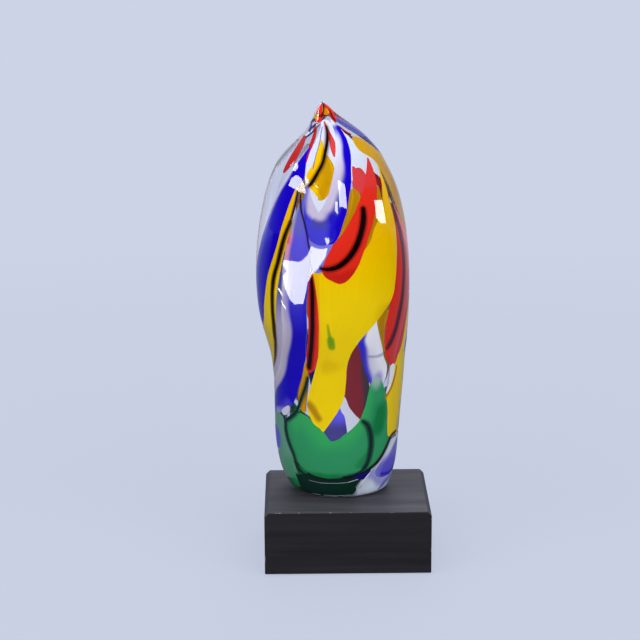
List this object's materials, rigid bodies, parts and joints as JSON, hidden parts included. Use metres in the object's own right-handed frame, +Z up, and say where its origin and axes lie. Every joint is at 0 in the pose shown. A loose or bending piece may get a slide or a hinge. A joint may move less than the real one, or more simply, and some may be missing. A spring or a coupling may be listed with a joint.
{
  "type": "glass sculpture",
  "caption": "Tall hollow glass form drawn to a leaning peak, with trails of coloured glass rolled flush into its clear body, bonded by its ground foot to a black wooden block.",
  "frame": {"origin": "centre of the underside of the felt pad, on the surface the sculpture stands on", "axes": "+Z up, front face of the block towards -Y, +X to the right as seen from the front"},
  "size_m": [0.1042, 0.0841, 0.2795],
  "materials": {
    "painted_wood": "satin black paint over fine grain",
    "felt": "black wool felt",
    "adhesive": "clear UV-cured adhesive",
    "clear_glass": "fire-polished clear glass",
    "blue_glass": "fire-polished cobalt blue glass",
    "violet_glass": "fire-polished violet-blue glass",
    "white_glass": "fire-polished opal white glass",
    "red_glass": "fire-polished red glass",
    "rose_glass": "fire-polished rose glass",
    "dark_red_glass": "fire-polished dark red glass",
    "yellow_glass": "fire-polished yellow glass",
    "amber_yellow_glass": "fire-polished amber-yellow glass",
    "amber_glass": "fire-polished amber glass",
    "green_glass": "fire-polished green glass",
    "sea_green_glass": "fire-polished sea-green glass",
    "dark_green_glass": "fire-polished dark green glass",
    "black_glass": "fire-polished black glass"
  },
  "bodies": {
    "root": {"wooden_block": "painted_wood", "felt_pad": "felt", "adhesive_pad": "adhesive", "clear_body": "clear_glass", "green_wave_trail": "green_glass", "red_sickle_trail": "red_glass", "blue_pouch_trail": "blue_glass", "blue_pouch_arm": "blue_glass", "blue_shoulder_trail": "blue_glass", "yellow_ribbon_left": "yellow_glass", "blue_white_trail": "blue_glass", "red_strip_centre": "red_glass", "yellow_main_trail": "yellow_glass", "amber_strip_left": "amber_glass", "amber_strip_centre": "amber_glass", "rose_patch": "rose_glass", "yellow_drop": "amber_yellow_glass", "red_fleck_right": "red_glass", "red_fleck_left": "red_glass", "red_streak_left": "red_glass", "yellow_shoulder_trail": "amber_yellow_glass", "dark_red_fleck": "dark_red_glass", "red_edge_trail": "red_glass", "amber_strip_right": "amber_glass", "white_blue_trail": "white_glass", "yellow_low_trail": "yellow_glass", "blue_edge_trail": "violet_glass", "violet_foot_trail": "violet_glass", "white_foot_trail": "white_glass", "violet_patch_left": "violet_glass", "green_side_trail": "sea_green_glass", "green_foot_trail": "dark_green_glass", "violet_peak_trail": "violet_glass", "red_peak_fleck": "dark_red_glass", "blue_peak_trail": "blue_glass", "red_tip_trail": "red_glass", "red_back_trail": "red_glass", "blue_white_back_trail": "blue_glass", "yellow_back_trail": "yellow_glass", "blue_back_trail": "blue_glass", "yellow_back_side_trail": "yellow_glass", "red_back_side_trail": "red_glass", "white_back_trail": "white_glass", "violet_back_trail": "violet_glass", "green_back_wave_trail": "green_glass", "red_back_peak_trail": "red_glass", "thread_sickle": "black_glass", "thread_left": "black_glass", "thread_centre": "black_glass", "thread_right": "black_glass", "thread_drop": "black_glass", "thread_pouch_side": "black_glass", "thread_green": "black_glass", "thread_lower_left": "black_glass", "thread_foot_right": "black_glass", "thread_back": "black_glass", "thread_back_side": "black_glass"}
  },
  "joints": []
}
